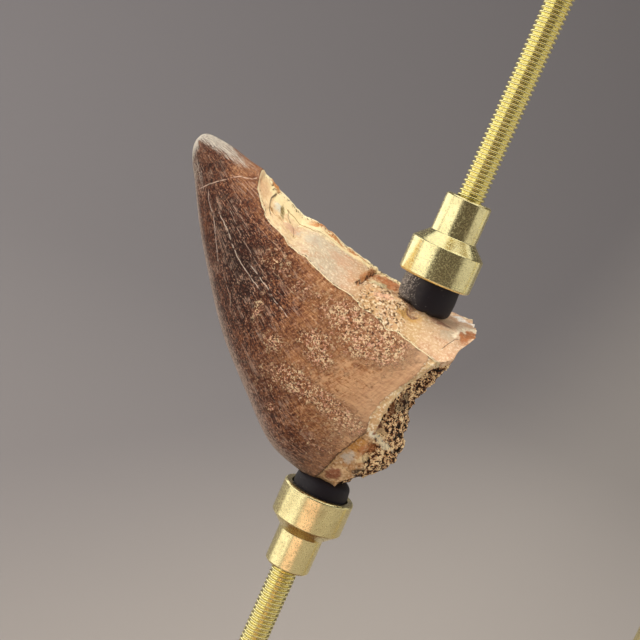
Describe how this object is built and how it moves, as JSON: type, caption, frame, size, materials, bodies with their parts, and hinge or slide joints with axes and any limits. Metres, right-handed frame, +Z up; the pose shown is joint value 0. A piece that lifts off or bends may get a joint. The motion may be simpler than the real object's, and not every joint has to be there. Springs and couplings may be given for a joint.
{
  "type": "fossil mosasaur tooth in a clamp stand",
  "caption": "Fossil reptile tooth crown held between two rubber pads in turned brass cups on threaded rods, in a small clamp stand with a wooden base.",
  "frame": {"origin": "middle of the underside of the wooden base", "axes": "+Z up along the clamp rods, -X towards the tip of the tooth, -Y out of the broad enamelled side of the tooth"},
  "size_m": [0.116, 0.06, 0.1785],
  "materials": {
    "fossil": "brown striated enamel with a silky sheen, cream chipped dentine and a dark spongy root",
    "pad_rubber": "matte",
    "turned_brass": "satin, fine turning marks",
    "threaded_brass": "satin, rolled thread",
    "milled_brass": "brushed",
    "walnut": "oiled"
  },
  "bodies": {
    "stand": {"base": "walnut", "column": "turned_brass", "arm": "milled_brass", "arm_screw": "turned_brass", "base_nut": "turned_brass", "lower_rod": "threaded_brass", "lower_cup": "turned_brass", "lower_pad": "pad_rubber", "tooth": "fossil"},
    "clamp": {"upper_cup": "turned_brass", "upper_pad": "pad_rubber"},
    "screw": {"clamp_screw": "threaded_brass", "thumb_knob": "turned_brass"}
  },
  "joints": [
    {"name": "clamp_slide", "type": "slide", "parent": "stand", "child": "clamp", "axis": [0, 0, 1], "range_m": [0, 0.0112]},
    {"name": "screw_turn", "type": "hinge", "parent": "clamp", "child": "screw", "pos_m": [-0.016, 0, 0.16], "axis": [0, 0, 1], "range_deg": [0, 5761]}
  ],
  "couplings": [
    {"joint": "screw_turn", "follows": "clamp_slide", "rad_per_m": 8976}
  ]
}
